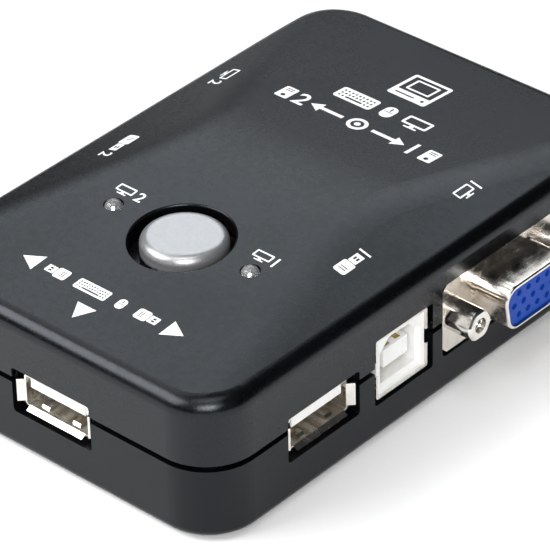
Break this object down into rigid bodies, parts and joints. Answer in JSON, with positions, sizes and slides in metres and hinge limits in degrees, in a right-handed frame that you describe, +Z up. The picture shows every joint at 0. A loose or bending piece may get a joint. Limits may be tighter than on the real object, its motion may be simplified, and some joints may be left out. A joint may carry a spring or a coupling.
{
  "type": "kvm switch",
  "caption": "Small black crowned desktop switch box with a round push button, indicator lamps, and USB-A, USB-B and VGA sockets round its sides.",
  "frame": {"origin": "middle of the case footprint, on the plane that the rubber feet stand on", "axes": "+X to the right side with the computer 1 sockets, +Y to the back with the monitor socket, +Z up through the lid and the push button"},
  "size_m": [0.077, 0.1073, 0.0286],
  "materials": {
    "case_plastic": "fine satin moulded texture",
    "button_silver": "satin silver paint on plastic",
    "led_clear": "clear epoxy",
    "connector_nickel": "bright nickel plate",
    "connector_white": "satin",
    "vga_blue": "satin",
    "contact_gold": "gold flash",
    "foot_rubber": "matte",
    "screw_steel": "zinc plated",
    "board_laminate": "solder mask",
    "component_black": "moulded epoxy",
    "tinned_leads": "tin plate",
    "crystal_can": "satin",
    "capacitor_sleeve": "shrink sleeve",
    "ceramic_tan": "fired ceramic",
    "spring_steel": "drawn wire"
  },
  "bodies": {
    "case": {"top_cover": "case_plastic", "bottom_cover": "case_plastic", "rubber_feet": "foot_rubber", "case_screws": "screw_steel", "pcb_screws": "screw_steel", "main_pcb": "board_laminate", "vga_right_shell": "connector_nickel", "vga_right_insulator": "vga_blue", "vga_right_contacts": "contact_gold", "vga_right_jackscrews": "connector_nickel", "vga_right_brackets": "connector_nickel", "vga_left_shell": "connector_nickel", "vga_left_insulator": "vga_blue", "vga_left_contacts": "contact_gold", "vga_left_jackscrews": "connector_nickel", "vga_left_brackets": "connector_nickel", "vga_monitor_shell": "connector_nickel", "vga_monitor_insulator": "vga_blue", "vga_monitor_contacts": "contact_gold", "vga_monitor_jackscrews": "connector_nickel", "vga_monitor_brackets": "connector_nickel", "usb_a_front_shell": "connector_nickel", "usb_a_front_tongue": "connector_white", "usb_a_front_contacts": "contact_gold", "usb_a_right_shell": "connector_nickel", "usb_a_right_tongue": "connector_white", "usb_a_right_contacts": "contact_gold", "usb_a_left_shell": "connector_nickel", "usb_a_left_tongue": "connector_white", "usb_a_left_contacts": "contact_gold", "usb_b_right_shell": "connector_nickel", "usb_b_right_insulator": "connector_white", "usb_b_right_contacts": "contact_gold", "usb_b_left_shell": "connector_nickel", "usb_b_left_insulator": "connector_white", "usb_b_left_contacts": "contact_gold", "led_computer_1": "led_clear", "led_computer_2": "led_clear", "led_leads": "tinned_leads", "switch_body": "component_black", "switch_terminals": "tinned_leads", "switch_spring": "spring_steel", "video_switch_ics": "component_black", "usb_switch_ic": "component_black", "controller_ic": "component_black", "voltage_regulator": "component_black", "diodes": "component_black", "video_switch_ic_leads": "tinned_leads", "usb_switch_ic_leads": "tinned_leads", "controller_ic_leads": "tinned_leads", "crystal": "crystal_can", "electrolytic_capacitors": "capacitor_sleeve", "chip_resistors": "component_black", "chip_capacitors": "ceramic_tan"},
    "button": {"button_cap": "button_silver", "switch_plunger": "connector_white"}
  },
  "joints": [
    {"name": "button_press", "type": "slide", "parent": "case", "child": "button", "axis": [0, 0, -1], "range_m": [0, 0.0015], "stiffness_N_per_m": 1200, "deforming": ["switch_spring"]}
  ]
}
